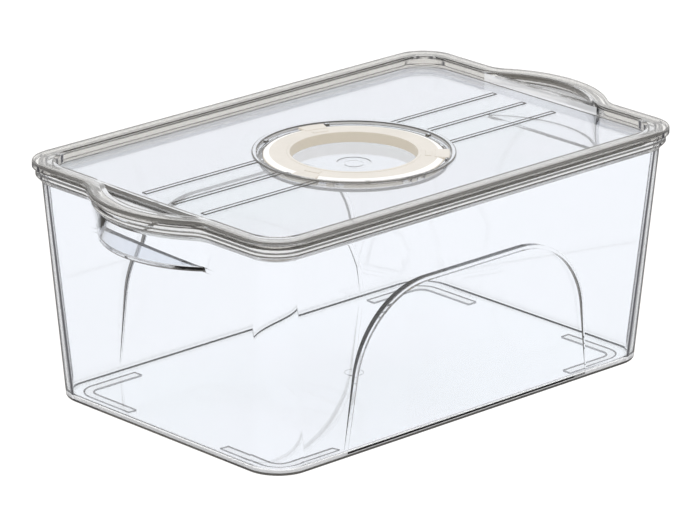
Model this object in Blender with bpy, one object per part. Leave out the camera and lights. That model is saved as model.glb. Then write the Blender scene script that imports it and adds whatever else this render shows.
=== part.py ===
"""Covered fridge bin: a clear tapered tub, a lift-off lid and a turning vent dial.

Metres, +Z up, +X along the bin. The origin is on the table, under the middle of the bin.
"""
import math

import bmesh
import bpy

MM = 0.001

# Plan at the lid's outer edge
LENGTH = 320 * MM
WIDTH = 213.6 * MM
CORNER_R = 21.6 * MM
BULGE_APEX = 177.8 * MM
BULGE_R = 68.5 * MM
BULGE_FILLET_R = 16 * MM

# Tub
FOOT_H = 1.5 * MM
BASE_LENGTH = 294.6 * MM
BASE_WIDTH = 189.4 * MM
BASE_CORNER_R = 21.5 * MM
BASE_EDGE_R = 1.1 * MM
WALL_T = 2.0 * MM
FLOOR_T = 2.2 * MM
WALL_TOP_Z = 129.5 * MM
WALL_TOP_INSET = 5.5 * MM
LEDGE_Z = 111.6 * MM
LEDGE_T = 2.0 * MM
LEDGE_APEX = 171.6 * MM
LEDGE_R = 65 * MM
LEDGE_FILLET_R = 2.5 * MM
FLANGE_LOW_Z = 133.6 * MM
FLANGE_TOP_Z = 135.4 * MM
FLANGE_INSET = 1.9 * MM
LIP_TOP_Z = 139.8 * MM
LIP_OUTER_INSET = 3.8 * MM
LIP_INNER_INSET = 5.6 * MM

# Feet under the floor corners
FOOT_W = 6.4 * MM
FOOT_X = 136.9 * MM
FOOT_Y = 85.1 * MM
FOOT_END_X = 91 * MM
FOOT_END_Y = 38.5 * MM
FOOT_R = 13 * MM

# Arch-shaped upright panel in each long wall
ARCH_TOP_Z = 93.1 * MM
ARCH_R = 52.3 * MM
ARCH_CENTRE_X = 36.2 * MM
ARCH_LEG_ANGLE = math.radians(7.5)
ARCH_Y = 94.8 * MM
ARCH_DRAFT = 0.006

# Lid
LID_TOP_Z = 142.1 * MM
SKIRT_LOW_Z = 138.1 * MM
SKIRT_T = 1.8 * MM
ROOF_Z = 140.1 * MM
PLUG_INSET = 7.8 * MM
PLUG_LOW_Z = 134.0 * MM
RIM_INSET = 10.2 * MM
PANEL_R = 20 * MM
CHAMFER_H = 1.1 * MM
PANEL_Z = 135.9 * MM
SHELF_Z = 138.9 * MM
SHELF_LOW_Z = 137.0 * MM
WEB_X = 153.1 * MM
RIB_PITCH = 24.3 * MM
RIB_W = 3.4 * MM
RIB_H = 0.8 * MM
RIB_END_X = 136.8 * MM

# Round well in the lid, and the dial in it
BEAD_R = 58.2 * MM
BEAD_INNER_R = 55.1 * MM
BEAD_H = 1.0 * MM
REBATE_Z = 134.8 * MM
WELL_R = 52.0 * MM
WELL_WALL_T = 1.8 * MM
WELL_FLOOR_Z = 129.6 * MM
WELL_FLOOR_T = 1.5 * MM
DIAL_R = 51.6 * MM
DIAL_HOLE_R = 36.4 * MM
DIAL_LOW_Z = 129.9 * MM
DIAL_TOP_Z = 136.3 * MM
DIAL_WALL_T = 1.6 * MM
LUG_R = 54.5 * MM
LUG_ANGLES = (74, -46, -166)
LUG_HALF = 8.5
DIAL_TRAVEL = 30
STOP_W = 3
WINDOW_ANGLES = (-148, -94, -28, 26, 92, 146)
WINDOW_OFFSET = 5.4
WINDOW_HALF = 3.1
WINDOW_LOW_Z = 130.7 * MM
WINDOW_TOP_Z = 133.4 * MM

# Gate marks
GATE_R = 5.5 * MM
GATE_H = 0.5 * MM

CORNER_STEPS = 8
FILLET_STEPS = 4
BULGE_STEPS = 18
TURN_STEPS = 96


def clear_scene():
    for obj in list(bpy.data.objects):
        bpy.data.objects.remove(obj, do_unlink=True)


def collection(name, cutters=False):
    made = bpy.data.collections.new(name)
    bpy.context.scene.collection.children.link(made)
    made.hide_render = cutters
    return made


def material(name, colour, roughness, transmission):
    made = bpy.data.materials.new(name)
    made.use_nodes = True
    shader = made.node_tree.nodes["Principled BSDF"]
    shader.inputs["Base Color"].default_value = colour
    shader.inputs["Roughness"].default_value = roughness
    shader.inputs["Transmission Weight"].default_value = transmission
    made.diffuse_color = colour
    return made


def finish_mesh(name, bm, home):
    bmesh.ops.recalc_face_normals(bm, faces=bm.faces)
    mesh = bpy.data.meshes.new(name)
    bm.to_mesh(mesh)
    bm.free()
    obj = bpy.data.objects.new(name, mesh)
    home.objects.link(obj)
    return obj


def cutter(name, bm):
    obj = finish_mesh(name, bm, CUTTERS)
    obj.hide_render = True
    obj.display_type = "WIRE"
    return obj


def combine(target, other, operation):
    mod = target.modifiers.new(other.name, "BOOLEAN")
    mod.operation = operation
    mod.solver = "EXACT"
    mod.object = other


def arc(cx, cy, r, start, end, steps):
    points = []
    for i in range(steps + 1):
        a = start + (end - start) * i / steps
        points.append((cx + r * math.cos(a), cy + r * math.sin(a)))
    return points


def bulge_points(half_len, bulge):
    """End line from its lower fillet, round the (apex, radius, fillet) bulge, to its upper fillet."""
    apex, radius, fillet = bulge
    cx = apex - radius
    fx = half_len + fillet
    fy = math.sqrt((radius + fillet) ** 2 - (fx - cx) ** 2)
    swing = math.atan2(fy, fx - cx)
    low = arc(fx, -fy, fillet, math.pi, math.pi - swing, FILLET_STEPS)
    mid = arc(cx, 0, radius, -swing, swing, BULGE_STEPS)
    high = arc(fx, fy, fillet, math.pi + swing, math.pi, FILLET_STEPS)
    return low[:-1] + mid + high[1:]


def rim_bulge(inset):
    return BULGE_APEX - inset, BULGE_R - inset, BULGE_FILLET_R + inset


def ledge_bulge(inset):
    return LEDGE_APEX - inset, LEDGE_R - inset, LEDGE_FILLET_R + inset


def outline(half_len, half_wid, corner_r, bulge=None):
    """Closed plan outline. Without a bulge its ends are straight."""
    reference = bulge_points(LENGTH / 2 - PLUG_INSET, rim_bulge(PLUG_INSET))
    end = [(half_len, y) for _, y in reference]
    if bulge:
        end = bulge_points(half_len, bulge)
    cx = half_len - corner_r
    cy = half_wid - corner_r
    half = arc(cx, -cy, corner_r, -math.pi / 2, 0, CORNER_STEPS)
    half += end
    half += arc(cx, cy, corner_r, 0, math.pi / 2, CORNER_STEPS)
    return half + [(-x, -y) for x, y in half]


def rim_outline(inset):
    return outline(LENGTH / 2 - inset, WIDTH / 2 - inset, CORNER_R - inset, rim_bulge(inset))


def flat_outline(inset):
    return outline(LENGTH / 2 - inset, WIDTH / 2 - inset, PANEL_R + RIM_INSET - inset)


def loft(stations):
    """Skin through (outline, z) stations, closed with a cap at each end."""
    bm = bmesh.new()
    rings = []
    for points, z in stations:
        rings.append([bm.verts.new((x, y, z)) for x, y in points])
    count = len(rings[0])
    for a, b in zip(rings, rings[1:]):
        for i in range(count):
            j = (i + 1) % count
            bm.faces.new((a[i], a[j], b[j], b[i]))
    bm.faces.new(rings[0])
    bm.faces.new(rings[-1])
    return bm


def prism(points, low, high):
    return loft([(points, low), (points, high)])


def turned(profile, steps=TURN_STEPS):
    """Closed (r, z) profile turned about Z. A profile point at r = 0 becomes a pole."""
    bm = bmesh.new()
    rings = []
    for r, z in profile:
        if r == 0:
            rings.append([bm.verts.new((0, 0, z))] * steps)
            continue
        ring = []
        for i in range(steps):
            a = 2 * math.pi * i / steps
            ring.append(bm.verts.new((r * math.cos(a), r * math.sin(a), z)))
        rings.append(ring)
    for a, b in zip(rings, rings[1:] + rings[:1]):
        for i in range(steps):
            j = (i + 1) % steps
            corners = []
            for vert in (a[i], a[j], b[j], b[i]):
                if vert not in corners:
                    corners.append(vert)
            if len(corners) > 2:
                bm.faces.new(corners)
    return bm


def sector(r_in, r_out, low, high, centre, half, steps=6):
    """Block between two radii and two heights, centre plus or minus half degrees."""
    start = math.radians(centre - half)
    end = math.radians(centre + half)
    points = arc(0, 0, r_out, start, end, steps) + arc(0, 0, r_in, end, start, steps)
    return prism(points, low, high)


def add_mesh(bm, other):
    mesh = bpy.data.meshes.new("merge")
    other.to_mesh(mesh)
    other.free()
    bm.from_mesh(mesh)
    bpy.data.meshes.remove(mesh)
    return bm


def gather(meshes):
    bm = bmesh.new()
    for part in meshes:
        add_mesh(bm, part)
    return bm


def wall_size(z):
    """Outer half length, half width and corner radius of the tub's wall at height z."""
    t = (z - FOOT_H) / (WALL_TOP_Z - FOOT_H)
    top_len = LENGTH / 2 - WALL_TOP_INSET
    top_wid = WIDTH / 2 - WALL_TOP_INSET
    top_r = CORNER_R - WALL_TOP_INSET
    half_len = BASE_LENGTH / 2 + (top_len - BASE_LENGTH / 2) * t
    half_wid = BASE_WIDTH / 2 + (top_wid - BASE_WIDTH / 2) * t
    return half_len, half_wid, BASE_CORNER_R + (top_r - BASE_CORNER_R) * t


def wall_outline(z, inset, bulge=None):
    half_len, half_wid, corner_r = wall_size(z)
    return outline(half_len - inset, half_wid - inset, corner_r - inset, bulge)


def foot_outline(sx, sy):
    ox = FOOT_X - FOOT_R
    oy = FOOT_Y - FOOT_R
    points = [(FOOT_END_X, FOOT_Y)]
    points += arc(ox, oy, FOOT_R, math.pi / 2, 0, 6)
    points += [(FOOT_X, FOOT_END_Y), (FOOT_X - FOOT_W, FOOT_END_Y)]
    points += arc(ox, oy, FOOT_R - FOOT_W, 0, math.pi / 2, 6)
    points += [(FOOT_END_X, FOOT_Y - FOOT_W)]
    return [(sx * x, sy * y) for x, y in points]


def arch_outline(grow, low_z):
    """Arch in the XZ plane, from its left leg's foot, over the top, to the right leg's foot."""
    cz = ARCH_TOP_Z - ARCH_R
    radius = ARCH_R + grow
    right = arc(ARCH_CENTRE_X, cz, radius, ARCH_LEG_ANGLE, math.pi / 2, 14)
    tx, tz = right[0]
    foot = (tx + (tz - low_z) * math.tan(ARCH_LEG_ANGLE), low_z)
    right = [foot] + right
    left = [(-x, z) for x, z in reversed(right)]
    return right + left


def arch_block(side, grow, low_z, near, far):
    """Block of arch outline between two slopes, near and far, each (y at z = 0, slope)."""
    bm = bmesh.new()
    points = arch_outline(grow, low_z)
    rings = []
    for start, slope in (near, far):
        rings.append([bm.verts.new((x, side * (start + slope * z), z)) for x, z in points])
    count = len(points)
    for i in range(count):
        j = (i + 1) % count
        bm.faces.new((rings[0][i], rings[0][j], rings[1][j], rings[1][i]))
    bm.faces.new(rings[0])
    bm.faces.new(rings[1])
    return bm


def tub_shell():
    base = FOOT_H
    edge = BASE_EDGE_R
    ledge_in = LEDGE_Z + LEDGE_T
    top_in = WALL_TOP_INSET + WALL_T
    stations = [
        (wall_outline(base, edge), base),
        (wall_outline(base, 0.3 * edge), base + 0.3 * edge),
        (wall_outline(base + edge, 0), base + edge),
        (wall_outline(LEDGE_Z - 0.2 * MM, 0), LEDGE_Z - 0.2 * MM),
        (wall_outline(LEDGE_Z, 0, ledge_bulge(1 * MM)), LEDGE_Z),
        (wall_outline(LEDGE_Z + 1 * MM, 0, ledge_bulge(0)), LEDGE_Z + 1 * MM),
        (rim_outline(WALL_TOP_INSET), WALL_TOP_Z),
        (rim_outline(FLANGE_INSET + 0.3 * MM), FLANGE_LOW_Z - 0.3 * MM),
        (rim_outline(FLANGE_INSET), FLANGE_LOW_Z),
        (rim_outline(FLANGE_INSET), FLANGE_TOP_Z - 0.3 * MM),
        (rim_outline(FLANGE_INSET + 0.3 * MM), FLANGE_TOP_Z),
        (rim_outline(LIP_OUTER_INSET), FLANGE_TOP_Z),
        (rim_outline(LIP_OUTER_INSET), LIP_TOP_Z - 0.4 * MM),
        (rim_outline(LIP_OUTER_INSET + 0.4 * MM), LIP_TOP_Z),
        (rim_outline(LIP_INNER_INSET - 0.4 * MM), LIP_TOP_Z),
        (rim_outline(LIP_INNER_INSET), LIP_TOP_Z - 0.4 * MM),
        (rim_outline(LIP_INNER_INSET + 0.2 * MM), FLANGE_LOW_Z - 0.6 * MM),
        (rim_outline(top_in), WALL_TOP_Z - 1 * MM),
        (wall_outline(ledge_in + 1 * MM, WALL_T, ledge_bulge(WALL_T)), ledge_in + 1 * MM),
        (wall_outline(ledge_in, WALL_T, ledge_bulge(WALL_T + 1 * MM)), ledge_in),
        (wall_outline(ledge_in - 0.2 * MM, WALL_T), ledge_in - 0.2 * MM),
        (wall_outline(base + 4.2 * MM, WALL_T), base + 4.2 * MM),
        (wall_outline(base + 2.8 * MM, WALL_T + 0.6 * MM), base + 2.8 * MM),
        (wall_outline(base + FLOOR_T, WALL_T + 2 * MM), base + FLOOR_T),
    ]
    return loft(stations)


def build_tub(home, clear):
    tub = finish_mesh("tub", tub_shell(), home)
    taper = (wall_size(WALL_TOP_Z)[1] - wall_size(FOOT_H)[1]) / (WALL_TOP_Z - FOOT_H)
    mid_wall = (BASE_WIDTH / 2 - taper * FOOT_H - WALL_T / 2, taper)
    panel = (ARCH_Y, ARCH_DRAFT)
    panel_in = (ARCH_Y - WALL_T, ARCH_DRAFT)
    pads = []
    cuts = []
    for side in (-1, 1):
        pads.append(arch_block(side, WALL_T, FOOT_H + 0.6 * MM, panel_in, mid_wall))
        cuts.append(arch_block(side, 0, -1 * MM, panel, (WIDTH / 2, 0)))
    combine(tub, cutter("arch_pads", gather(pads)), "UNION")
    combine(tub, cutter("arch_cuts", gather(cuts)), "DIFFERENCE")
    feet = []
    for sx in (-1, 1):
        for sy in (-1, 1):
            feet.append(prism(foot_outline(sx, sy), 0, FOOT_H + 0.6 * MM))
    combine(tub, cutter("feet", gather(feet)), "UNION")
    gate = turned([(0, FOOT_H - GATE_H), (GATE_R, FOOT_H - GATE_H), (GATE_R, 2 * MM), (0, 2 * MM)], 32)
    combine(tub, cutter("tub_gate", gate), "UNION")
    tub.data.materials.append(clear)


def lid_shell():
    crest = RIM_INSET - 1.2 * MM
    stations = [
        (flat_outline(RIM_INSET + 0.6 * MM), PANEL_Z),
        (flat_outline(RIM_INSET), PANEL_Z + 0.6 * MM),
        (flat_outline(RIM_INSET), LID_TOP_Z - CHAMFER_H),
        (outline(LENGTH / 2 - crest, WIDTH / 2 - crest, PANEL_R, rim_bulge(crest)), LID_TOP_Z),
        (rim_outline(1.0 * MM), LID_TOP_Z),
        (rim_outline(0.3 * MM), LID_TOP_Z - 0.3 * MM),
        (rim_outline(0), LID_TOP_Z - 1 * MM),
        (rim_outline(0), SKIRT_LOW_Z),
        (rim_outline(SKIRT_T), SKIRT_LOW_Z),
        (rim_outline(SKIRT_T), ROOF_Z),
        (rim_outline(PLUG_INSET), ROOF_Z),
        (rim_outline(PLUG_INSET), SHELF_LOW_Z + 0.1 * MM),
        (flat_outline(PLUG_INSET + 0.1 * MM), SHELF_LOW_Z),
        (flat_outline(PLUG_INSET + 0.1 * MM), PLUG_LOW_Z + 0.6 * MM),
        (flat_outline(PLUG_INSET + 0.7 * MM), PLUG_LOW_Z),
    ]
    return loft(stations)


def crescent_outline(inset):
    """Pocket between the web across the bulge and the rim round it, at the +X end."""
    points = [p for p in bulge_points(LENGTH / 2 - inset, rim_bulge(inset)) if p[0] > WEB_X]
    fillet = BULGE_FILLET_R + inset
    fx = LENGTH / 2 + BULGE_FILLET_R
    fy = math.sqrt((BULGE_R + BULGE_FILLET_R) ** 2 - (fx - BULGE_APEX + BULGE_R) ** 2)
    corner = fy - math.sqrt(fillet ** 2 - (fx - WEB_X) ** 2)
    return [(WEB_X, -corner)] + points + [(WEB_X, corner)]


def crescent_cut(side):
    points = [(side * x, side * y) for x, y in crescent_outline(RIM_INSET)]
    return prism(points, SHELF_Z, LID_TOP_Z + 1 * MM)


def rib_box(side, y):
    start = math.sqrt((BEAD_R - 1.4 * MM) ** 2 - y ** 2)
    w = RIB_W / 2
    points = [(start, y - w), (RIB_END_X, y - w), (RIB_END_X, y + w), (start, y + w)]
    top = PANEL_Z + RIB_H
    inner = [(start, y - w + 0.3 * MM), (RIB_END_X - 0.3 * MM, y - w + 0.3 * MM)]
    inner += [(RIB_END_X - 0.3 * MM, y + w - 0.3 * MM), (start, y + w - 0.3 * MM)]
    low = [(side * x, side * v) for x, v in points]
    high = [(side * x, side * v) for x, v in inner]
    return loft([(low, PANEL_Z - 0.7 * MM), (low, top - 0.3 * MM), (high, top)])


def well_profile():
    outer = WELL_R + WELL_WALL_T
    low = WELL_FLOOR_Z - WELL_FLOOR_T
    top = PANEL_Z + BEAD_H
    return [
        (0, low),
        (outer - 0.8 * MM, low),
        (outer, low + 0.8 * MM),
        (outer, PLUG_LOW_Z - 0.5 * MM),
        (BEAD_R - 1 * MM, PLUG_LOW_Z + 0.3 * MM),
        (BEAD_R, PLUG_LOW_Z + 0.9 * MM),
        (BEAD_R, top - 0.5 * MM),
        (BEAD_R - 0.5 * MM, top),
        (BEAD_INNER_R + 0.5 * MM, top),
        (BEAD_INNER_R, top - 0.5 * MM),
        (BEAD_INNER_R, REBATE_Z),
        (WELL_R + 0.4 * MM, REBATE_Z),
        (WELL_R, REBATE_Z - 0.4 * MM),
        (WELL_R, WELL_FLOOR_Z),
        (0, WELL_FLOOR_Z),
    ]


def windows(r_in, r_out):
    cuts = []
    for angle in WINDOW_ANGLES:
        for offset in (-WINDOW_OFFSET, WINDOW_OFFSET):
            cuts.append(sector(r_in, r_out, WINDOW_LOW_Z, WINDOW_TOP_Z, angle + offset, WINDOW_HALF, 2))
    return gather(cuts)


def build_lid(home, clear):
    lid = finish_mesh("lid", lid_shell(), home)
    combine(lid, cutter("crescents", gather([crescent_cut(1), crescent_cut(-1)])), "DIFFERENCE")
    ribs = []
    for side in (-1, 1):
        for y in (-RIB_PITCH, 0, RIB_PITCH):
            ribs.append(rib_box(side, y))
    combine(lid, cutter("ribs", gather(ribs)), "UNION")
    hole_r = BEAD_INNER_R + 0.5 * MM
    hole = turned([(0, 0.12), (hole_r, 0.12), (hole_r, 0.16), (0, 0.16)])
    combine(lid, cutter("well_hole", hole), "DIFFERENCE")
    combine(lid, cutter("well", turned(well_profile())), "UNION")
    stops = []
    for angle in LUG_ANGLES:
        reach = LUG_HALF + 0.6 + STOP_W / 2
        for at in (angle - reach, angle + DIAL_TRAVEL + reach):
            stops.append(sector(LUG_R - 1.4 * MM, BEAD_INNER_R + 0.6 * MM, REBATE_Z - 0.4 * MM, PANEL_Z + 0.4 * MM,
                                at, STOP_W / 2, 2))
    combine(lid, cutter("dial_stops", gather(stops)), "UNION")
    low = WELL_FLOOR_Z - WELL_FLOOR_T
    gate = turned([(0, low - GATE_H), (GATE_R, low - GATE_H), (GATE_R, low + 0.5 * MM), (0, low + 0.5 * MM)], 32)
    combine(lid, cutter("lid_gate", gate), "UNION")
    combine(lid, cutter("well_windows", windows(WELL_R - 1 * MM, WELL_R + 3 * MM)), "DIFFERENCE")
    lid.data.materials.append(clear)


def dial_profile():
    roof = DIAL_TOP_Z - DIAL_WALL_T
    return [
        (DIAL_HOLE_R, DIAL_LOW_Z),
        (DIAL_HOLE_R, DIAL_TOP_Z - 0.5 * MM),
        (DIAL_HOLE_R + 0.5 * MM, DIAL_TOP_Z),
        (DIAL_R - 1.4 * MM, DIAL_TOP_Z),
        (DIAL_R, DIAL_TOP_Z - 1.2 * MM),
        (DIAL_R, DIAL_LOW_Z + 0.3 * MM),
        (DIAL_R - 0.3 * MM, DIAL_LOW_Z),
        (DIAL_R - DIAL_WALL_T, DIAL_LOW_Z),
        (DIAL_R - DIAL_WALL_T, roof),
        (DIAL_HOLE_R + DIAL_WALL_T, roof),
        (DIAL_HOLE_R + DIAL_WALL_T, DIAL_LOW_Z),
    ]


def build_dial(home, cream):
    dial = finish_mesh("vent_dial", turned(dial_profile()), home)
    lugs = []
    for angle in LUG_ANGLES:
        lugs.append(sector(DIAL_R - 3.2 * MM, LUG_R, REBATE_Z + 0.3 * MM, DIAL_TOP_Z - 0.1 * MM,
                           angle, LUG_HALF))
    combine(dial, cutter("lugs", gather(lugs)), "UNION")
    combine(dial, cutter("dial_windows", windows(DIAL_R - 3 * MM, DIAL_R + 1 * MM)), "DIFFERENCE")
    dial.data.materials.append(cream)


clear_scene()
HOME = collection("fridge_bin")
CUTTERS = collection("cutters", cutters=True)
CLEAR = material("clear_plastic", (0.93, 0.94, 0.97, 0.3), 0.05, 1.0)
CREAM = material("cream_plastic", (0.89, 0.83, 0.73, 1.0), 0.45, 0.0)
build_tub(HOME, CLEAR)
build_lid(HOME, CLEAR)
build_dial(HOME, CREAM)
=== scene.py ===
"""Fridge bin: finely rounded mouldings for the tub, the lid and the vent dial, in clear and cream plastic.

Metres, +Z up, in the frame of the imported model. Each moulding stands for the CAD node of the same body.
"""
import math

import bmesh
import bpy
from mathutils import Matrix, Vector

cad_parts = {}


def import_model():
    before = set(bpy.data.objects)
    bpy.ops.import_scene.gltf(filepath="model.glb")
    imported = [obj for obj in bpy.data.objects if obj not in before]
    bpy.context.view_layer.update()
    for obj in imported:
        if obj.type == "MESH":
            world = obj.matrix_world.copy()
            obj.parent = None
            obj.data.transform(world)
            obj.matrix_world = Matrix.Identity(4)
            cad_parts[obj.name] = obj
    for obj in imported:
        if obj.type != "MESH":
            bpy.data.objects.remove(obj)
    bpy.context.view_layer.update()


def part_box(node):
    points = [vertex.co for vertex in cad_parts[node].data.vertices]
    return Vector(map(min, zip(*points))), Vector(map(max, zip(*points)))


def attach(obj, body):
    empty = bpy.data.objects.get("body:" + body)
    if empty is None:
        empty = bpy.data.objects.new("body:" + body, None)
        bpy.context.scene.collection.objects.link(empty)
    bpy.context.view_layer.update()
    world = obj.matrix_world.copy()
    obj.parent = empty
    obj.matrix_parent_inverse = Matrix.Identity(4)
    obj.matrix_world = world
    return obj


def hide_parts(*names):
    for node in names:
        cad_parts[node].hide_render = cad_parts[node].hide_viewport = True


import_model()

MM = 0.001
TUB_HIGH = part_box("tub")[1]
LID_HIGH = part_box("lid")[1]
DIAL_LOW, DIAL_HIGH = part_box("vent_dial")

# Plan at the lid's outer edge
BULGE_APEX = LID_HIGH.x
HALF_WIDTH = LID_HIGH.y
HALF_LENGTH = BULGE_APEX - 17.8 * MM
CORNER_R = 21.6 * MM
BULGE_R = 68.5 * MM
BULGE_FILLET_R = 16 * MM

# Tub
FOOT_H = 1.5 * MM
BASE_HALF_LENGTH = HALF_LENGTH - 12.7 * MM
BASE_HALF_WIDTH = HALF_WIDTH - 12.1 * MM
BASE_CORNER_R = 21.5 * MM
BASE_EDGE_R = 1.4 * MM
BASE_LINE_H = 1.9 * MM
WALL_T = 2.0 * MM
FLOOR_T = 2.2 * MM
FLOOR_CURVE_R = 3.4 * MM
WALL_TOP_Z = 129.5 * MM
WALL_TOP_INSET = 5.5 * MM
LEDGE_Z = 111.6 * MM
LEDGE_T = 2.0 * MM
LEDGE_EDGE_R = 1.2 * MM
LEDGE_APEX = BULGE_APEX - 6.2 * MM
LEDGE_R = 65 * MM
LEDGE_FILLET_R = 2.5 * MM
LIP_TOP_Z = TUB_HIGH.z
FLANGE_TOP_Z = LIP_TOP_Z - 4.4 * MM
FLANGE_LOW_Z = FLANGE_TOP_Z - 1.8 * MM
FLANGE_INSET = BULGE_APEX - TUB_HIGH.x
LIP_OUTER_INSET = 3.8 * MM
LIP_INNER_INSET = 5.6 * MM

# Feet under the floor corners
FOOT_W = 6.4 * MM
FOOT_X = 136.9 * MM
FOOT_Y = 85.1 * MM
FOOT_END_X = 91 * MM
FOOT_END_Y = 38.5 * MM
FOOT_R = 13 * MM

# Arch-shaped upright panel in each long wall
ARCH_TOP_Z = 93.1 * MM
ARCH_R = 52.3 * MM
ARCH_CENTRE_X = 36.2 * MM
ARCH_LEG_ANGLE = math.radians(7.5)
ARCH_Y = HALF_WIDTH - 12.0 * MM
ARCH_DRAFT = 0.006

# Lid
LID_TOP_Z = LID_HIGH.z
SKIRT_LOW_Z = LID_TOP_Z - 4 * MM
SKIRT_T = 1.8 * MM
ROOF_Z = LID_TOP_Z - 2 * MM
PLUG_INSET = 7.8 * MM
PANEL_Z = LID_TOP_Z - 6.2 * MM
PLUG_LOW_Z = PANEL_Z - 1.9 * MM
RIM_INSET = 10.2 * MM
PANEL_R = 20 * MM
PANEL_INSET = 16 * MM
CHAMFER_H = 1.1 * MM
CHAMFER_W = 1.2 * MM
LID_EDGE_R = 1.1 * MM
SKIRT_EDGE_R = 0.4 * MM
SHELF_Z = LID_TOP_Z - 3.2 * MM
SHELF_LOW_Z = SHELF_Z - 1.9 * MM
WEB_X = 153.1 * MM
RIB_PITCH = 24.3 * MM
RIB_W = 3.8 * MM
RIB_H = 0.5 * MM
RIB_END_X = 136.8 * MM
RIB_EDGE = 0.15 * MM
RIB_BORDER = 0.45 * MM
RIB_SINK = 1.4 * MM
RIB_ROOT = 0.7 * MM
CHANNEL_FLOOR = 0.1 * MM

# Round well in the lid, and the dial in it
BEAD_R = 58.2 * MM
BEAD_INNER_R = 55.1 * MM
BEAD_H = 1.0 * MM
REBATE_Z = PANEL_Z - 1.1 * MM
WELL_R = 52.0 * MM
WELL_WALL_T = 1.8 * MM
WELL_FLOOR_Z = DIAL_LOW.z - 0.3 * MM
WELL_FLOOR_T = 1.5 * MM
DIMPLE_R = 10.1 * MM
DIMPLE_FLAT_R = 9.6 * MM
DIMPLE_DEPTH = 0.12 * MM
DRILL_R = BEAD_INNER_R + 0.8 * MM
DRILL_LOW_Z = 120 * MM
DRILL_TOP_Z = 160 * MM
DIAL_R = 51.6 * MM
DIAL_FACE_R = 48.2 * MM
DIAL_HOLE_R = 36.4 * MM
DIAL_LOW_Z = DIAL_LOW.z
DIAL_TOP_Z = DIAL_HIGH.z
DIAL_WALL_T = 1.6 * MM
FACE_DROP = 0.3 * MM
LUG_R = 54.5 * MM
LUG_IN_R = DIAL_R - 5.4 * MM
LUG_LOW_Z = REBATE_Z + 0.3 * MM
LUG_ANGLES = (74, -46, -166)
LUG_HALF = 8.5
PAD_R = DIAL_R - 7.2 * MM
PAD_IN_R = DIAL_HOLE_R + 4.2 * MM
PAD_LOW_Z = DIAL_TOP_Z - 0.9 * MM
PAD_HALF = LUG_HALF - 2
DIAL_TRAVEL = 30
STOP_W = 3
STOP_GAP = 0.6
STOP_IN_R = LUG_R - 1.4 * MM
STOP_LOW_Z = REBATE_Z - 0.4 * MM
STOP_TOP_Z = PANEL_Z + 0.4 * MM
WINDOW_ANGLES = (-148, -94, -28, 26, 92, 146)
WINDOW_OFFSET = 5.4
WINDOW_HALF = 3.1
WINDOW_LOW_Z = 130.7 * MM
WINDOW_TOP_Z = 133.4 * MM

# Gate marks
GATE_R = 5.5 * MM
GATE_H = 0.5 * MM
GATE_EDGE = 0.2 * MM
GATE_TOP_Z = 2 * MM

# How far a block reaches into the body it joins, and how high a change of outline is
SINK = 0.6 * MM
BLEND_H = 0.3 * MM

CORNER_STEPS = 20
FILLET_STEPS = 8
BULGE_STEPS = 44
ARCH_STEPS = 36
TURN_STEPS = 180
GATE_STEPS = 64
BLOCK_STEPS = 10
SMALL_STEPS = 4
EASE_STEPS = 4


def arc(cx, cy, r, start, end, steps):
    points = []
    for i in range(steps + 1):
        a = start + (end - start) * i / steps
        points.append((cx + r * math.cos(a), cy + r * math.sin(a)))
    return points


def bulge_points(half_len, bulge):
    """End line from its lower fillet, round the (apex, radius, fillet) bulge, to its upper fillet."""
    apex, radius, fillet = bulge
    cx = apex - radius
    fx = half_len + fillet
    fy = math.sqrt((radius + fillet) ** 2 - (fx - cx) ** 2)
    swing = math.atan2(fy, fx - cx)
    low = arc(fx, -fy, fillet, math.pi, math.pi - swing, FILLET_STEPS)
    mid = arc(cx, 0, radius, -swing, swing, BULGE_STEPS)
    high = arc(fx, fy, fillet, math.pi + swing, math.pi, FILLET_STEPS)
    return low[:-1] + mid + high[1:]


def rim_bulge(inset):
    return BULGE_APEX - inset, BULGE_R - inset, BULGE_FILLET_R + inset


def ledge_bulge(inset):
    return LEDGE_APEX - inset, LEDGE_R - inset, LEDGE_FILLET_R + inset


def outline(half_len, half_wid, corner_r, bulge=None):
    """Closed plan outline. Without a bulge its ends are straight."""
    reference = bulge_points(HALF_LENGTH - PLUG_INSET, rim_bulge(PLUG_INSET))
    end = [(half_len, y) for _, y in reference]
    if bulge:
        end = bulge_points(half_len, bulge)
    cx = half_len - corner_r
    cy = half_wid - corner_r
    half = arc(cx, -cy, corner_r, -math.pi / 2, 0, CORNER_STEPS)
    half += end
    half += arc(cx, cy, corner_r, 0, math.pi / 2, CORNER_STEPS)
    return half + [(-x, -y) for x, y in half]


def rim_outline(inset):
    return outline(HALF_LENGTH - inset, HALF_WIDTH - inset, CORNER_R - inset, rim_bulge(inset))


def flat_outline(inset):
    return outline(HALF_LENGTH - inset, HALF_WIDTH - inset, PANEL_R + RIM_INSET - inset)


def wall_size(z):
    """Outer half length, half width and corner radius of the tub's wall at height z."""
    t = (z - FOOT_H) / (WALL_TOP_Z - FOOT_H)
    half_len = BASE_HALF_LENGTH + (HALF_LENGTH - WALL_TOP_INSET - BASE_HALF_LENGTH) * t
    half_wid = BASE_HALF_WIDTH + (HALF_WIDTH - WALL_TOP_INSET - BASE_HALF_WIDTH) * t
    return half_len, half_wid, BASE_CORNER_R + (CORNER_R - WALL_TOP_INSET - BASE_CORNER_R) * t


def wall_outline(z, inset, bulge=None):
    half_len, half_wid, corner_r = wall_size(z)
    return outline(half_len - inset, half_wid - inset, corner_r - inset, bulge)


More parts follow.
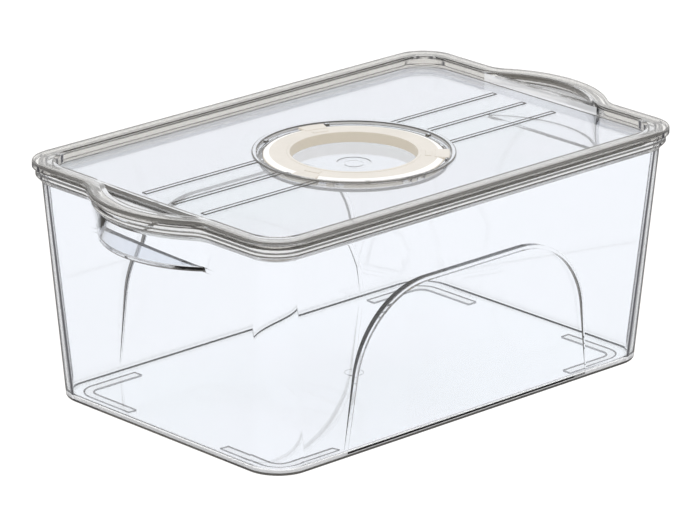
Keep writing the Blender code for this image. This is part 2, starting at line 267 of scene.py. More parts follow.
def eased(corners):
    """(a, z, ease) corners joined into one (a, z) path, each corner rounded over its ease distance."""
    path = []
    for i, (a, z, ease) in enumerate(corners):
        if not ease:
            path.append((a, z))
            continue
        corner = Vector((a, z))
        start = corner + (Vector(corners[i - 1][:2]) - corner).normalized() * ease
        end = corner + (Vector(corners[(i + 1) % len(corners)][:2]) - corner).normalized() * ease
        for k in range(EASE_STEPS + 1):
            t = k / EASE_STEPS
            p = start * (1 - t) ** 2 + corner * 2 * t * (1 - t) + end * t * t
            path.append((p.x, p.y))
    return path


def skin(bm, rings):
    """Faces between neighbouring rings of vertices, and a cap on the first and the last ring."""
    count = len(rings[0])
    for a, b in zip(rings, rings[1:]):
        for i in range(count):
            j = (i + 1) % count
            bm.faces.new((a[i], a[j], b[j], b[i]))
    bm.faces.new(rings[0])
    bm.faces.new(rings[-1])
    return bm


def loft(stations):
    """Closed solid through (outline, z) stations."""
    bm = bmesh.new()
    rings = []
    for points, z in stations:
        rings.append([bm.verts.new((x, y, z)) for x, y in points])
    return skin(bm, rings)


def turned(profile, steps=TURN_STEPS):
    """Closed (r, z) profile turned about Z. A profile point at r = 0 becomes a pole."""
    bm = bmesh.new()
    rings = []
    for r, z in profile:
        if r == 0:
            rings.append([bm.verts.new((0, 0, z))] * steps)
            continue
        ring = []
        for i in range(steps):
            a = 2 * math.pi * i / steps
            ring.append(bm.verts.new((r * math.cos(a), r * math.sin(a), z)))
        rings.append(ring)
    for a, b in zip(rings, rings[1:] + rings[:1]):
        for i in range(steps):
            j = (i + 1) % steps
            corners = []
            for vert in (a[i], a[j], b[j], b[i]):
                if vert not in corners:
                    corners.append(vert)
            if len(corners) > 2:
                bm.faces.new(corners)
    return bm


def sector(r_in, r_out, low, high, centre, half, steps=BLOCK_STEPS, ease=0):
    """Block between two radii and two heights, centre plus or minus half degrees, with an eased top."""
    levels = [(low, 0), (high, 0)]
    if ease:
        levels = [(low, 0), (high - ease, 0), (high, ease)]
    stations = []
    for z, cut in levels:
        start = math.radians(centre - half) + cut / r_out
        end = math.radians(centre + half) - cut / r_out
        points = arc(0, 0, r_out - cut, start, end, steps) + arc(0, 0, r_in + cut, end, start, steps)
        stations.append((points, z))
    return loft(stations)


def gather(parts):
    """One bmesh that holds all the parts."""
    bm = bmesh.new()
    for part in parts:
        mesh = bpy.data.meshes.new("part")
        part.to_mesh(mesh)
        part.free()
        bm.from_mesh(mesh)
        bpy.data.meshes.remove(mesh)
    return bm


def mesh_object(name, bm):
    bmesh.ops.recalc_face_normals(bm, faces=bm.faces)
    mesh = bpy.data.meshes.new(name)
    bm.to_mesh(mesh)
    bm.free()
    obj = bpy.data.objects.new(name, mesh)
    bpy.context.scene.collection.objects.link(obj)
    return obj


def mark_sides(obj, axis):
    """Gives a solid's side faces, those that run along axis, the second slot, which mark_edges reads as a
    place for a painted dark line of shade.
    """
    for polygon in obj.data.polygons:
        if abs(polygon.normal[axis]) < SIDE_SLOPE:
            polygon.material_index = 1


def combine(target, bm, operation, marked=True, upright_axis=2):
    """Adds or cuts the solid bm, in the target's own mesh. If marked, its sides keep the second slot, where
    a painted dark line of shade goes.
    """
    other = mesh_object("cutter", bm)
    for obj in (target, other):
        while len(obj.data.materials) < 2:
            obj.data.materials.append(None)
    if marked:
        mark_sides(other, upright_axis)
    mod = target.modifiers.new("cut", "BOOLEAN")
    mod.operation = operation
    mod.solver = "EXACT"
    mod.object = other
    made = bpy.data.meshes.new_from_object(target.evaluated_get(bpy.context.evaluated_depsgraph_get()))
    target.modifiers.clear()
    target.data = made
    bpy.data.objects.remove(other)


def foot_outline(sx, sy, inset):
    """L-shaped outline of the foot in the corner that the signs sx and sy name."""
    ox = FOOT_X - FOOT_R
    oy = FOOT_Y - FOOT_R
    points = [(FOOT_END_X + inset, FOOT_Y - inset)]
    points += arc(ox, oy, FOOT_R - inset, math.pi / 2, 0, BLOCK_STEPS)
    points += [(FOOT_X - inset, FOOT_END_Y + inset), (FOOT_X - FOOT_W + inset, FOOT_END_Y + inset)]
    points += arc(ox, oy, FOOT_R - FOOT_W + inset, 0, math.pi / 2, BLOCK_STEPS)
    points += [(FOOT_END_X + inset, FOOT_Y - FOOT_W + inset)]
    return [(sx * x, sy * y) for x, y in points]


def arch_outline(grow, low_z):
    """Arch in the XZ plane, from its left leg's foot, over the top, to the right leg's foot."""
    cz = ARCH_TOP_Z - ARCH_R
    right = arc(ARCH_CENTRE_X, cz, ARCH_R + grow, ARCH_LEG_ANGLE, math.pi / 2, ARCH_STEPS)
    tx, tz = right[0]
    foot = (tx + (tz - low_z) * math.tan(ARCH_LEG_ANGLE), low_z)
    right = [foot] + right
    left = [(-x, z) for x, z in reversed(right)]
    return right + left


def arch_block(side, low_z, *planes):
    """Block through arch outlines on upright slopes, each (grow, y at z = 0, slope)."""
    bm = bmesh.new()
    rings = []
    for grow, start, slope in planes:
        ring = []
        for x, z in arch_outline(grow, low_z):
            ring.append(bm.verts.new((x, side * (start + slope * z), z)))
        rings.append(ring)
    return skin(bm, rings)


def tub_shell():
    """The tub's skin, up the outside and down the inside, from (inset, z, rounding) lists."""
    base = FOOT_H
    ledge_in = LEDGE_Z + LEDGE_T
    inner_base = base + FLOOR_T
    stations = []
    edge = [(4 * MM, base, 0), (0, base, BASE_EDGE_R), (0, base + BASE_LINE_H, 0), (0, base + 4 * MM, 0)]
    for inset, z in eased(edge):
        stations.append((wall_outline(z, inset), z))
    stations.append((wall_outline(LEDGE_Z - BLEND_H, 0), LEDGE_Z - BLEND_H))
    for i in range(EASE_STEPS + 1):
        a = math.pi / 2 * i / EASE_STEPS
        z = LEDGE_Z + LEDGE_EDGE_R * (1 - math.cos(a))
        stations.append((wall_outline(z, 0, ledge_bulge(LEDGE_EDGE_R * (1 - math.sin(a)))), z))
    rim = [
        (WALL_TOP_INSET, WALL_TOP_Z, 0),
        (FLANGE_INSET, FLANGE_LOW_Z - 0.2 * MM, 0.5 * MM),
        (FLANGE_INSET, FLANGE_TOP_Z, 0.5 * MM),
        (LIP_OUTER_INSET, FLANGE_TOP_Z, 0.3 * MM),
        (LIP_OUTER_INSET, LIP_TOP_Z, 0.5 * MM),
        (LIP_INNER_INSET, LIP_TOP_Z, 0.5 * MM),
        (LIP_INNER_INSET + 0.2 * MM, FLANGE_LOW_Z - 0.6 * MM, 1 * MM),
        (WALL_TOP_INSET + WALL_T, WALL_TOP_Z - 1 * MM, 0),
    ]
    for inset, z in eased(rim):
        stations.append((rim_outline(inset), z))
    for i in range(EASE_STEPS + 1):
        a = math.pi / 2 * i / EASE_STEPS
        z = ledge_in + LEDGE_EDGE_R * (1 - math.sin(a))
        bulge = ledge_bulge(WALL_T + LEDGE_EDGE_R * (1 - math.cos(a)))
        stations.append((wall_outline(z, WALL_T, bulge), z))
    stations.append((wall_outline(ledge_in - BLEND_H, WALL_T), ledge_in - BLEND_H))
    curve = [
        (WALL_T, inner_base + 6 * MM, 0),
        (WALL_T, inner_base, FLOOR_CURVE_R),
        (8 * MM, inner_base, 0),
    ]
    for inset, z in eased(curve):
        stations.append((wall_outline(z, inset), z))
    return loft(stations)


def build_tub():
    """Shell, pads behind the two arches, the arches cut into the walls, feet and a gate mark."""
    tub = mesh_object("tub_moulding", tub_shell())
    taper = (wall_size(WALL_TOP_Z)[1] - wall_size(FOOT_H)[1]) / (WALL_TOP_Z - FOOT_H)
    wall = wall_size(0)[1]
    pads = []
    cuts = []
    for side in (-1, 1):
        inner = (WALL_T, ARCH_Y - WALL_T, ARCH_DRAFT)
        pads.append(arch_block(side, FOOT_H + SINK, inner, (WALL_T, wall - WALL_T / 2, taper)))
        cuts.append(arch_block(side, -1 * MM, (0, ARCH_Y, ARCH_DRAFT), (0, HALF_WIDTH, 0)))
    combine(tub, gather(pads), "UNION", marked=False)
    combine(tub, gather(cuts), "DIFFERENCE", upright_axis=1)
    under = []
    for sx in (-1, 1):
        for sy in (-1, 1):
            stations = eased([(2 * MM, 0, 0), (0, 0, 1 * MM), (0, FOOT_H + SINK, 0)])
            under.append(loft([(foot_outline(sx, sy, inset), z) for inset, z in stations]))
    low = FOOT_H - GATE_H
    gate = [(0, low), (GATE_R - GATE_EDGE, low), (GATE_R, low + GATE_EDGE)]
    gate += [(GATE_R, GATE_TOP_Z), (0, GATE_TOP_Z)]
    under.append(turned(gate, GATE_STEPS))
    combine(tub, gather(under), "UNION")
    return tub


def lid_shell():
    """The lid's skin, over the rim and back under the panel, from (inset, z, rounding) lists."""
    crest = RIM_INSET - CHAMFER_W
    stations = []
    panel = [
        (PANEL_INSET, PANEL_Z, 0),
        (RIM_INSET, PANEL_Z, 0.7 * MM),
        (RIM_INSET, LID_TOP_Z - CHAMFER_H, 0),
    ]
    for inset, z in eased(panel):
        stations.append((flat_outline(inset), z))
    inner_edge = outline(HALF_LENGTH - crest, HALF_WIDTH - crest, PANEL_R, rim_bulge(crest))
    stations.append((inner_edge, LID_TOP_Z))
    rim = [
        (crest - 0.4 * MM, LID_TOP_Z, 0),
        (0, LID_TOP_Z, LID_EDGE_R),
        (0, SKIRT_LOW_Z, SKIRT_EDGE_R),
        (SKIRT_T, SKIRT_LOW_Z, SKIRT_EDGE_R),
        (SKIRT_T, ROOF_Z, SKIRT_EDGE_R),
        (PLUG_INSET, ROOF_Z, SKIRT_EDGE_R),
        (PLUG_INSET, SHELF_LOW_Z + 0.1 * MM, 0),
    ]
    for inset, z in eased(rim):
        stations.append((rim_outline(inset), z))
    plug = [
        (PLUG_INSET + 0.1 * MM, SHELF_LOW_Z, 0),
        (PLUG_INSET + 0.1 * MM, PLUG_LOW_Z, 0.8 * MM),
        (PANEL_INSET, PLUG_LOW_Z, 0),
    ]
    for inset, z in eased(plug):
        stations.append((flat_outline(inset), z))
    return loft(stations)


def crescent_outline(inset):
    """Pocket between the web across the bulge and the rim round it, at the +X end."""
    points = [p for p in bulge_points(HALF_LENGTH - inset, rim_bulge(inset)) if p[0] > WEB_X]
    fillet = BULGE_FILLET_R + inset
    fx = HALF_LENGTH + BULGE_FILLET_R
    fy = math.sqrt((BULGE_R + BULGE_FILLET_R) ** 2 - (fx - BULGE_APEX + BULGE_R) ** 2)
    corner = fy - math.sqrt(fillet ** 2 - (fx - WEB_X) ** 2)
    return [(WEB_X, -corner)] + points + [(WEB_X, corner)]


def crescent_cut(side):
    points = [(side * x, side * y) for x, y in crescent_outline(RIM_INSET)]
    return loft([(points, SHELF_Z), (points, LID_TOP_Z + 1 * MM)])


def rib_block(side, y, levels):
    """Bar from the well's bead towards the lid's end, through (inset, z) levels."""
    start = math.sqrt((BEAD_R - RIB_SINK) ** 2 - y ** 2)
    stations = []
    for inset, z in levels:
        w = RIB_W / 2 - inset
        end = RIB_END_X - inset
        corners = [(start, y - w), (end, y - w), (end, y + w), (start, y + w)]
        stations.append(([(side * x, side * v) for x, v in corners], z))
    return loft(stations)


def well_profile():
    """The well with its bead, in section, from (radius, z, rounding) rows."""
    outer = WELL_R + WELL_WALL_T
    low = WELL_FLOOR_Z - WELL_FLOOR_T
    top = PANEL_Z + BEAD_H
    corners = [
        (0, low, 0),
        (outer, low, 0.8 * MM),
        (outer, PLUG_LOW_Z - 0.3 * MM, 0.6 * MM),
        (BEAD_R, PLUG_LOW_Z + 0.5 * MM, 0.5 * MM),
        (BEAD_R, top, 0.7 * MM),
        (BEAD_INNER_R, top, 0.7 * MM),
        (BEAD_INNER_R, REBATE_Z, 0.3 * MM),
        (WELL_R, REBATE_Z, 0.4 * MM),
        (WELL_R, WELL_FLOOR_Z, 0.6 * MM),
        (DIMPLE_R, WELL_FLOOR_Z, 0.2 * MM),
        (DIMPLE_FLAT_R, WELL_FLOOR_Z - DIMPLE_DEPTH, 0.2 * MM),
        (0, WELL_FLOOR_Z - DIMPLE_DEPTH, 0),
    ]
    return eased(corners)


def windows(r_in, r_out):
    """Pairs of slots between two radii, all round the well or the dial's skirt."""
    cuts = []
    for angle in WINDOW_ANGLES:
        for offset in (-WINDOW_OFFSET, WINDOW_OFFSET):
            cuts.append(sector(r_in, r_out, WINDOW_LOW_Z, WINDOW_TOP_Z,
                               angle + offset, WINDOW_HALF, SMALL_STEPS))
    return gather(cuts)


def build_lid():
    """Shell, pockets, channelled ribs, the well, the dial's stops, a gate mark and the slots."""
    lid = mesh_object("lid_moulding", lid_shell())
    combine(lid, gather([crescent_cut(1), crescent_cut(-1)]), "DIFFERENCE")
    ribs = []
    channels = []
    top = PANEL_Z + RIB_H
    bend = 0.3 * RIB_EDGE
    rib_levels = [(0, PANEL_Z - RIB_ROOT), (0, top - RIB_EDGE), (bend, top - bend), (RIB_EDGE, top)]
    channel_levels = [(RIB_BORDER, PANEL_Z + CHANNEL_FLOOR), (RIB_BORDER, top + 1 * MM)]
    for side in (-1, 1):
        for y in (-RIB_PITCH, 0, RIB_PITCH):
            ribs.append(rib_block(side, y, rib_levels))
            channels.append(rib_block(side, y, channel_levels))
    combine(lid, gather(ribs), "UNION")
    combine(lid, gather(channels), "DIFFERENCE")
    hole = turned([(0, DRILL_LOW_Z), (DRILL_R, DRILL_LOW_Z), (DRILL_R, DRILL_TOP_Z), (0, DRILL_TOP_Z)])
    combine(lid, hole, "DIFFERENCE", marked=False)
    combine(lid, turned(well_profile()), "UNION", marked=False)
    stops = []
    reach = LUG_HALF + STOP_GAP + STOP_W / 2
    for angle in LUG_ANGLES:
        for at in (angle - reach, angle + DIAL_TRAVEL + reach):
            stops.append(sector(STOP_IN_R, BEAD_INNER_R + SINK, STOP_LOW_Z, STOP_TOP_Z,
                                at, STOP_W / 2, SMALL_STEPS))
    combine(lid, gather(stops), "UNION")
    low = WELL_FLOOR_Z - WELL_FLOOR_T
    gate = [(0, low - GATE_H), (GATE_R, low - GATE_H), (GATE_R, low + GATE_H), (0, low + GATE_H)]
    combine(lid, turned(gate, GATE_STEPS), "UNION")
    combine(lid, windows(WELL_R - 1 * MM, WELL_R + 3 * MM), "DIFFERENCE")
    return lid


def dial_profile():
    """The dial's hollow ring, in section, from (radius, z, rounding) rows."""
    roof = DIAL_TOP_Z - DIAL_WALL_T
    face = DIAL_TOP_Z - FACE_DROP
    corners = [
        (DIAL_HOLE_R, DIAL_LOW_Z, 0.3 * MM),
        (DIAL_HOLE_R, DIAL_TOP_Z, 0.4 * MM),
        (DIAL_HOLE_R + 1.6 * MM, DIAL_TOP_Z, 0.3 * MM),
        (DIAL_HOLE_R + 1.9 * MM, face, 0.2 * MM),
        (DIAL_FACE_R, face, 0.4 * MM),
        (DIAL_R, DIAL_TOP_Z - 1.3 * MM, 0.6 * MM),
        (DIAL_R, DIAL_LOW_Z, 0.4 * MM),
        (DIAL_R - DIAL_WALL_T, DIAL_LOW_Z, 0.3 * MM),
        (DIAL_R - DIAL_WALL_T, roof - 0.6 * MM, 0.3 * MM),
        (DIAL_FACE_R - DIAL_WALL_T, roof - FACE_DROP, 0.3 * MM),
        (DIAL_HOLE_R + DIAL_WALL_T, roof - FACE_DROP, 0.3 * MM),
        (DIAL_HOLE_R + DIAL_WALL_T, DIAL_LOW_Z, 0.3 * MM),
    ]
    return eased(corners)


def build_dial():
    """Ring, then a lug and a low pad at each lug angle, and the slots through the skirt."""
    dial = mesh_object("dial_moulding", turned(dial_profile()))
    raised = []
    for angle in LUG_ANGLES:
        raised.append(sector(LUG_IN_R, LUG_R, LUG_LOW_Z, DIAL_TOP_Z, angle, LUG_HALF, ease=0.35 * MM))
        raised.append(sector(PAD_IN_R, PAD_R, PAD_LOW_Z, DIAL_TOP_Z, angle, PAD_HALF, ease=0.25 * MM))
    combine(dial, gather(raised), "UNION", marked=False)
    combine(dial, windows(DIAL_R - 3 * MM, DIAL_R + 1 * MM), "DIFFERENCE", marked=False)
    return dial


# Which faces and edges are marked for painted shade and painted light: slopes, angles, bend radii, places,
# and the strength of a mark
SIDE_SLOPE = 0.8
BASE_SLOPE = 0.9
UPRIGHT_SLOPE = 0.5
FLAT_ANGLE = math.radians(1)
BEND_ANGLE = math.radians(5)
SPLIT_ANGLE = math.radians(30)
SHORT_EDGE = 1e-7
BIG_FACE = 400 * MM * MM
SHARP_R = 1.3 * MM
ROUND_R = 3.0 * MM
TURN_R = 40 * MM
TURN_Y = 60 * MM
WEB_FRONT_X = HALF_LENGTH - RIM_INSET
WEB_HALF = 47 * MM
ON_PLANE = 0.1 * MM
CURVE_MARK_Z = FOOT_H + FLOOR_T + 2 * MM
BEAD_FACE_R = (BEAD_INNER_R - 0.2 * MM, BEAD_INNER_R + 0.3 * MM)
# Strength of the painted dark line of shade on cut sides and on tight outward bends
CUT_EDGE_SHADE = 1.0
BEND_EDGE_SHADE = 0.95


def light_guide(face):
    """True for a face that looks along a thin plate, which pipes light: a floor, a pocket or the panel.
    Such a face gets a pale painted light for what the plate pipes.
    """
    if abs(face.normal.z) > UPRIGHT_SLOPE:
        return False
    centre = face.calc_center_median()
    if FOOT_H + BASE_LINE_H < centre.z < CURVE_MARK_Z:
        return True
    if abs(abs(centre.x) - WEB_FRONT_X) < ON_PLANE and PANEL_Z < centre.z < LID_TOP_Z:
        return abs(centre.y) < WEB_HALF
    return REBATE_Z < centre.z < LID_TOP_Z and BEAD_FACE_R[0] < centre.xy.length < BEAD_FACE_R[1]


def mark_edges(mesh):
    """Writes the face attributes that clear_material reads, and sets smooth faces and sharp edges.

    edge, a painted dark line of shade, is on tight outward bends and on cut sides; turn, where the painted
    dark outline falls, on wider bends out by the long walls; guide, a pale painted light, on light_guide
    faces; and base, painted shade, on the strip of wall above the floor's corner. A seam between two big
    faces is made sharp, so that neither shades into the other.
    """
    bm = bmesh.new()
    bm.from_mesh(mesh)
    layers = bm.faces.layers.float
    edge_shade_marks, turns, piped_light_marks, base_shade_marks = [layers.new(name) for name in ("edge", "turn", "guide", "base")]
    base_top = FOOT_H + BASE_LINE_H
    for face in bm.faces:
        # A cut side gets a painted dark line of shade
        if face.material_index == 1:
            face[edge_shade_marks] = CUT_EDGE_SHADE
        # A face that pipes light gets a pale painted light
        if light_guide(face):
            face[piped_light_marks] = 1
        # The strip of wall above the floor's corner gets painted shade
        if abs(face.normal.z) < BASE_SLOPE and FOOT_H < face.calc_center_median().z < base_top:
            face[base_shade_marks] = 1
        face.material_index = 0
        face.smooth = True
    for edge in bm.edges:
        if len(edge.link_faces) != 2:
            continue
        angle = edge.calc_face_angle(0)
        if angle < FLAT_ANGLE or edge.calc_length() < SHORT_EDGE:
            continue
        a, b = edge.link_faces
        areas = (a.calc_area(), b.calc_area())
        edge.smooth = min(areas) < BIG_FACE
        if angle > SPLIT_ANGLE:
            continue
        radius = (sum(areas) / 2 / edge.calc_length()) / angle
        middle = (a.calc_center_median() + b.calc_center_median()) / 2
        # Wider bends out by the long walls carry the painted dark outline
        if radius < TURN_R and abs(middle.y) > TURN_Y:
            a[turns] = 1
            b[turns] = 1
        if angle < BEND_ANGLE or not edge.is_convex or FOOT_H < middle.z < base_top:
            continue
        # A tight outward bend gets a painted dark line of shade
        tight = BEND_EDGE_SHADE * min(1, max(0, (ROUND_R - radius) / (ROUND_R - SHARP_R)))
        for face in (a, b):
            face[edge_shade_marks] = max(face[edge_shade_marks], tight)
    bm.to_mesh(mesh)
    bm.free()


def settle(piece, material, node):
    """Last mesh work on a moulding, its finish, and its place in the frame."""
    mark_edges(piece.data)
    piece.data.materials.clear()
    piece.data.materials.append(material)
    split = piece.modifiers.new("split", "EDGE_SPLIT")
    split.split_angle = SPLIT_ANGLE
    normals = piece.modifiers.new("normals", "WEIGHTED_NORMAL")
    normals.mode = "FACE_AREA"
    normals.weight = 100
    normals.keep_sharp = True
    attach(piece, node)
    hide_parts(node)


def grey(level):
    return level, level, level


BLACK = grey(0)
WHITE = grey(1)


def new_material(name):
    made = bpy.data.materials.new(name)
    made.use_nodes = True
    return made, made.node_tree, made.node_tree.nodes["Principled BSDF"]


def ramp_node(tree, stops, source):
    """Colour ramp over a 0 to 1 source, from (position, colour) stops."""
    ramp = tree.nodes.new("ShaderNodeValToRGB")
    elements = ramp.color_ramp.elements
    for i, (position, colour) in enumerate(stops):
        element = elements[i] if i < 2 else elements.new(position)
        element.position = position
        element.color = (*colour, 1)
    tree.links.new(source, ramp.inputs["Fac"])
    return ramp.outputs["Color"]


# Places of the Mix node's colour sockets
MIX_A = 6
MIX_B = 7
MIX_RESULT = 2


def mix_node(tree, factor, a, b):
    """Colour a where the factor is 0 and b where it is 1. Each is a colour or a socket."""
    mix = tree.nodes.new("ShaderNodeMix")
    mix.data_type = "RGBA"
    tree.links.new(factor, mix.inputs[0])
    for value, place in ((a, MIX_A), (b, MIX_B)):
        if isinstance(value, tuple):
            mix.inputs[place].default_value = (*value, 1)
        else:
            tree.links.new(value, mix.inputs[place])
    return mix.outputs[MIX_RESULT]


def math_node(tree, operation, a, b):
    node = tree.nodes.new("ShaderNodeMath")
    node.operation = operation
    for value, socket in ((a, node.inputs[0]), (b, node.inputs[1])):
        if isinstance(value, (int, float)):
            socket.default_value = value
        else:
            tree.links.new(value, socket)
    return node.outputs[0]


def times(tree, a, b):
    return math_node(tree, "MULTIPLY", a, b)


def largest(tree, first, *others):
    for other in others:
        first = math_node(tree, "MAXIMUM", first, other)
    return first


def inverse(tree, a):
    return math_node(tree, "SUBTRACT", 1, a)


def object_place(tree):
    return tree.nodes.new("ShaderNodeTexCoord").outputs["Object"]


def noise_node(tree, scale, detail=3):
    noise = tree.nodes.new("ShaderNodeTexNoise")
    noise.inputs["Scale"].default_value = scale
    noise.inputs["Detail"].default_value = detail
    tree.links.new(object_place(tree), noise.inputs["Vector"])
    return noise.outputs["Fac"]


def axes(tree, source):
    split = tree.nodes.new("ShaderNodeSeparateXYZ")
    tree.links.new(source, split.inputs[0])
    return split.outputs


def upright_node(tree):
    """1 on an upright face, 0 on a level one."""
    normal = tree.nodes.new("ShaderNodeNewGeometry").outputs["Normal"]
    return inverse(tree, math_node(tree, "ABSOLUTE", axes(tree, normal)["Z"], 0))


def face_mark(tree, name):
    mark = tree.nodes.new("ShaderNodeAttribute")
    mark.attribute_name = name
    return mark.outputs["Fac"]


def add_finish(tree, shader, rough, height, strength, distance):
    """Roughness from one socket and bump from another."""
    tree.links.new(rough, shader.inputs["Roughness"])
    bump = tree.nodes.new("ShaderNodeBump")
    bump.inputs["Strength"].default_value = strength
    bump.inputs["Distance"].default_value = distance
    tree.links.new(height, bump.inputs["Height"])
    tree.links.new(bump.outputs["Normal"], shader.inputs["Normal"])


# Clear plastic: tints by place with painted shade in the rims, the colours of the painted shade and painted
# light marks, how opaque each mark is, and the scales of its noises
TUB_TINTS = ((0.94, 0.955, 0.985), (0.93, 0.957, 0.981))
LID_TINTS = ((0.75, 0.765, 0.807), (0.735, 0.77, 0.802))
WALL_TINT = (0.92, 0.938, 0.972)
# Warm grey painted into the rims: painted shade for the darker surroundings they refract
RIM_PAINTED_SHADE = (0.78, 0.772, 0.757)
# Colour of the painted dark lines of shade at edges
EDGE_SHADE_COLOUR = (0.095, 0.088, 0.078)
# Colour of the painted dark outline, painted shade
OUTLINE_SHADE_COLOUR = (0.03, 0.03, 0.04)
# Pale colour painted on faces that pipe light, painted light
PIPED_LIGHT_COLOUR = (0.84, 0.85, 0.88)
# How strongly the painted edge lines show, and how much each painted mark dulls the clear plastic
EDGE_SHADE_AMOUNT = 0.95
EDGE_SHADE_DULL = 0.62
GRAZE_SHADE_DULL = 0.92
PIPED_LIGHT_DULL = 0.6
PLASTIC_IOR = 1.54
ABSORB_COLOUR = (0.80, 0.79, 0.77)
ABSORB_DENSITY = 6.0
RIM_TOP_Z = PANEL_Z + 2 * MM
CLEAR_ROUGH = 0.02
TINT_SCALE = 9
ROUGH_SCALE = 60
WAVE_SCALE = 14


def painted_outline_shade(tree, upright):
    """The painted dark outline, painted shade by the angle a face is seen at: lines up each turn of the
    walls seen aslant, and every face seen edge on.
    """
    layer = tree.nodes.new("ShaderNodeLayerWeight")
    layer.inputs["Blend"].default_value = 0.5
    low = grey(0.34)
    stops = [(0.40, BLACK), (0.45, WHITE), (0.50, WHITE), (0.56, low), (0.66, low), (0.76, WHITE)]
    near = ramp_node(tree, stops, layer.outputs["Facing"])
    far = ramp_node(tree, [(0.86, BLACK), (1.0, WHITE)], layer.outputs["Facing"])
    return largest(tree, times(tree, times(tree, near, face_mark(tree, "turn")), upright), far)


def clear_material(name, tints):
    """Clear polished plastic: cool on the walls, with painted shade as warm grey in the rims and as dark
    lines at edges and outline, and painted light as a pale colour on faces that pipe light.
    """
    made, tree, shader = new_material(name)
    shader.inputs["IOR"].default_value = PLASTIC_IOR
    shader.inputs["Transmission Weight"].default_value = 1.0
    outside = inverse(tree, tree.nodes.new("ShaderNodeNewGeometry").outputs["Backfacing"])
    upright = upright_node(tree)
    height = axes(tree, object_place(tree))["Z"]
    # Painted shade: warm grey on upright faces above the wall top and on all faces above the rim height
    rim_side_shade = times(tree, upright, math_node(tree, "GREATER_THAN", height, WALL_TOP_Z))
    rim_top_shade = math_node(tree, "GREATER_THAN", height, RIM_TOP_Z)
    flat = ramp_node(tree, [(0.4, tints[0]), (0.6, tints[1])], noise_node(tree, TINT_SCALE))
    tint = mix_node(tree, upright, flat, WALL_TINT)
    tint = mix_node(tree, largest(tree, rim_side_shade, rim_top_shade), tint, RIM_PAINTED_SHADE)
    # Painted shade: edge and base marks become dark, less clear lines
    edge = largest(tree, face_mark(tree, "edge"), times(tree, face_mark(tree, "base"), outside))
    # Painted shade: a dark outline where faces are seen aslant or edge on
    graze_shade = painted_outline_shade(tree, upright)
    # Painted light: a pale colour on outside faces that pipe light, off the edge lines
    pale = times(tree, times(tree, face_mark(tree, "guide"), outside), inverse(tree, edge))
    colour = mix_node(tree, times(tree, edge, EDGE_SHADE_AMOUNT), tint, EDGE_SHADE_COLOUR)
    colour = mix_node(tree, graze_shade, colour, OUTLINE_SHADE_COLOUR)
    tree.links.new(mix_node(tree, pale, colour, PIPED_LIGHT_COLOUR), shader.inputs["Base Color"])
    dull = largest(tree, times(tree, edge, EDGE_SHADE_DULL), times(tree, graze_shade, GRAZE_SHADE_DULL),
                   times(tree, pale, PIPED_LIGHT_DULL))
    tree.links.new(inverse(tree, dull), shader.inputs["Transmission Weight"])
    absorb = tree.nodes.new("ShaderNodeVolumeAbsorption")
    absorb.inputs["Color"].default_value = (*ABSORB_COLOUR, 1)
    absorb.inputs["Density"].default_value = ABSORB_DENSITY
    tree.links.new(absorb.outputs[0], tree.nodes["Material Output"].inputs["Volume"])
    rough = ramp_node(tree, [(0.45, BLACK), (0.75, grey(CLEAR_ROUGH))], noise_node(tree, ROUGH_SCALE))
    wave = noise_node(tree, WAVE_SCALE, detail=1)
    add_finish(tree, shader, rough, wave, strength=0.04, distance=2 * MM)
    return made


# Cream plastic: tints, the painted shade of the upright sides, the painted highlight of the sloping edge
# and where it starts, roughness, and the scales of its noises
CREAM_TINTS = ((0.66, 0.625, 0.575), (0.69, 0.655, 0.605))
# Deeper cream painted on upright faces: painted shade
CREAM_SIDE_SHADE = (0.61, 0.555, 0.465)
# Painted highlight on the sloping edge, its blend width and how high it reaches
CREAM_SLOPE_HIGHLIGHT = (0.97, 0.97, 0.96)
HIGHLIGHT_BLEND = 0.4 * MM
HIGHLIGHT_TOP_Z = DIAL_TOP_Z - 0.32 * MM
CREAM_ROUGH = (0.34, 0.46)
MOTTLE_SCALE = 45
SATIN_SCALE = 300
GRAIN_SCALE = 900


def cream_material():
    """Opaque cream plastic with a satin grain, with a painted highlight, almost white, on the sloping edge
    and painted shade, a deeper cream, on the upright sides.
    """
    made, tree, shader = new_material("cream_plastic")
    place = axes(tree, object_place(tree))
    flat = tree.nodes.new("ShaderNodeCombineXYZ")
    tree.links.new(place["X"], flat.inputs["X"])
    tree.links.new(place["Y"], flat.inputs["Y"])
    radius = tree.nodes.new("ShaderNodeVectorMath")
    radius.operation = "LENGTH"
    tree.links.new(flat.outputs[0], radius.inputs[0])
    rim = tree.nodes.new("ShaderNodeMapRange")
    rim.inputs["From Min"].default_value = DIAL_FACE_R - HIGHLIGHT_BLEND
    rim.inputs["From Max"].default_value = DIAL_FACE_R + HIGHLIGHT_BLEND
    tree.links.new(radius.outputs["Value"], rim.inputs["Value"])
    # Painted highlight: near white on the sloping edge past the face radius, below the top
    slope = times(tree, rim.outputs[0], math_node(tree, "LESS_THAN", place["Z"], HIGHLIGHT_TOP_Z))
    mottle = ramp_node(tree, [(0.35, CREAM_TINTS[0]), (0.65, CREAM_TINTS[1])],
                       noise_node(tree, MOTTLE_SCALE))
    # Painted shade: upright faces get a deeper cream; the sloping edge gets the painted highlight
    colour = mix_node(tree, upright_node(tree), mix_node(tree, slope, mottle, CREAM_SLOPE_HIGHLIGHT), CREAM_SIDE_SHADE)
    tree.links.new(colour, shader.inputs["Base Color"])
    rough = ramp_node(tree, [(0.3, grey(CREAM_ROUGH[0])), (0.7, grey(CREAM_ROUGH[1]))],
                      noise_node(tree, SATIN_SCALE))
    add_finish(tree, shader, rough, noise_node(tree, GRAIN_SCALE), strength=0.08, distance=0.2 * MM)
    return made


FLOOR_HALF = 6
FLOOR_TONE = 0.95
FLOOR_ROUGH = 0.9


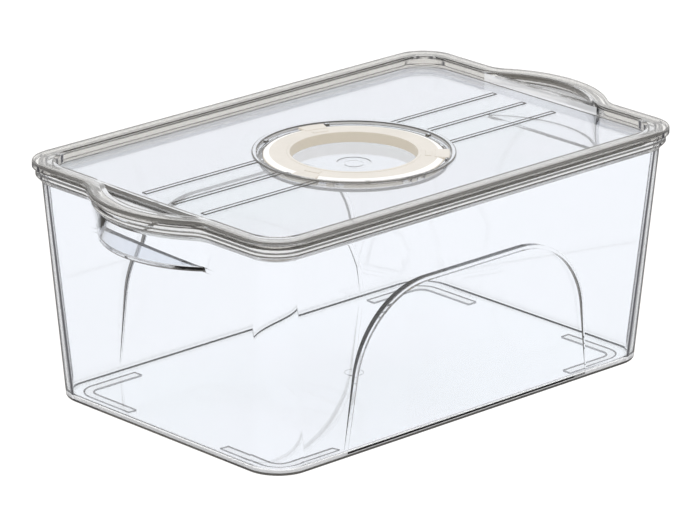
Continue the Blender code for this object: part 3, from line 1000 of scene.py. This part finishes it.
def floor():
    """Plain pale floor, kept out of the clear plastic's mirror reflections."""
    bm = bmesh.new()
    bmesh.ops.create_grid(bm, x_segments=1, y_segments=1, size=FLOOR_HALF)
    made = mesh_object("floor", bm)
    paint, _, shader = new_material("floor")
    shader.inputs["Base Color"].default_value = (*grey(FLOOR_TONE), 1)
    shader.inputs["Roughness"].default_value = FLOOR_ROUGH
    shader.inputs["Specular IOR Level"].default_value = 0.0
    made.data.materials.append(paint)
    made.visible_glossy = False


# The studio from straight down (0) over the horizon (0.5) to straight up (1)
UNDER_LIGHT = (0.25, 0.241, 0.229)
STUDIO = [(0.0, UNDER_LIGHT), (0.36, UNDER_LIGHT), (0.44, WHITE), (0.75, WHITE), (0.84, (0.62, 0.60, 0.57)),
          (0.925, (0.30, 0.29, 0.27)), (1.0, (0.25, 0.24, 0.22))]
STUDIO_STRENGTH = 1.1


def world():
    """Pale studio: white from just below the horizon to 30 degrees up, dimmer overhead and far below."""
    made = bpy.data.worlds.new("world")
    bpy.context.scene.world = made
    made.use_nodes = True
    tree = made.node_tree
    direction = axes(tree, tree.nodes.new("ShaderNodeTexCoord").outputs["Generated"])
    height = math_node(tree, "MULTIPLY_ADD", direction["Z"], 0.5)
    height.node.inputs[2].default_value = 0.5
    background = tree.nodes["Background"]
    tree.links.new(ramp_node(tree, STUDIO, height), background.inputs["Color"])
    background.inputs["Strength"].default_value = STUDIO_STRENGTH


KEY_SIZE = 3.0
KEY_POWER = 45
KEY_PLACE = (0.4, 0.3, 2.4)


def key_light():
    """Large soft light overhead, which only lights and is not itself seen or reflected."""
    data = bpy.data.lights.new("key", "AREA")
    made = bpy.data.objects.new("key", data)
    bpy.context.scene.collection.objects.link(made)
    data.shape = "RECTANGLE"
    data.size = KEY_SIZE
    data.size_y = KEY_SIZE
    data.energy = KEY_POWER
    made.location = KEY_PLACE
    made.visible_camera = False
    made.visible_glossy = False
    made.visible_transmission = False


CAMERA_TURN = math.radians(-43.49)
CAMERA_RISE = math.radians(19.19)
CAMERA_ROLL = math.radians(0.27)
CAMERA_DISTANCE = 3.0544
CAMERA_LENS = 273.1
CAMERA_ACROSS = -1.95 * MM
CAMERA_UP = 64.22 * MM
CAMERA_REACH = 60


def camera():
    """The photograph's view: round the bin's centre, turned, lifted and slightly rolled."""
    aim = Vector((0, 0, FOOT_H))
    across = math.cos(CAMERA_RISE)
    back = Vector((math.sin(CAMERA_TURN) * across, -math.cos(CAMERA_TURN) * across, math.sin(CAMERA_RISE)))
    level = Vector((0, 0, 1)).cross(back).normalized()
    up = back.cross(level)
    x_axis = level * math.cos(CAMERA_ROLL) + up * math.sin(CAMERA_ROLL)
    y_axis = up * math.cos(CAMERA_ROLL) - level * math.sin(CAMERA_ROLL)
    made = bpy.data.objects.new("camera", bpy.data.cameras.new("camera"))
    bpy.context.scene.collection.objects.link(made)
    place = aim + level * CAMERA_ACROSS + up * CAMERA_UP + back * CAMERA_DISTANCE
    made.matrix_world = Matrix.Translation(place) @ Matrix((x_axis, y_axis, back)).transposed().to_4x4()
    made.data.lens = CAMERA_LENS
    made.data.clip_end = CAMERA_REACH
    bpy.context.scene.camera = made


# A ray may cross this many clear faces before it goes black
LIGHT_BOUNCES = 64

for build, material, node in (
    (build_tub, clear_material("clear_tub", TUB_TINTS), "tub"),
    (build_lid, clear_material("clear_lid", LID_TINTS), "lid"),
):
    piece = build()
    settle(piece, material, node)
    piece.visible_shadow = False
    piece.visible_diffuse = False
settle(build_dial(), cream_material(), "vent_dial")

floor()
world()
key_light()
camera()
scene = bpy.context.scene
scene.view_settings.view_transform = "Standard"
scene.cycles.max_bounces = LIGHT_BOUNCES
scene.cycles.transmission_bounces = LIGHT_BOUNCES
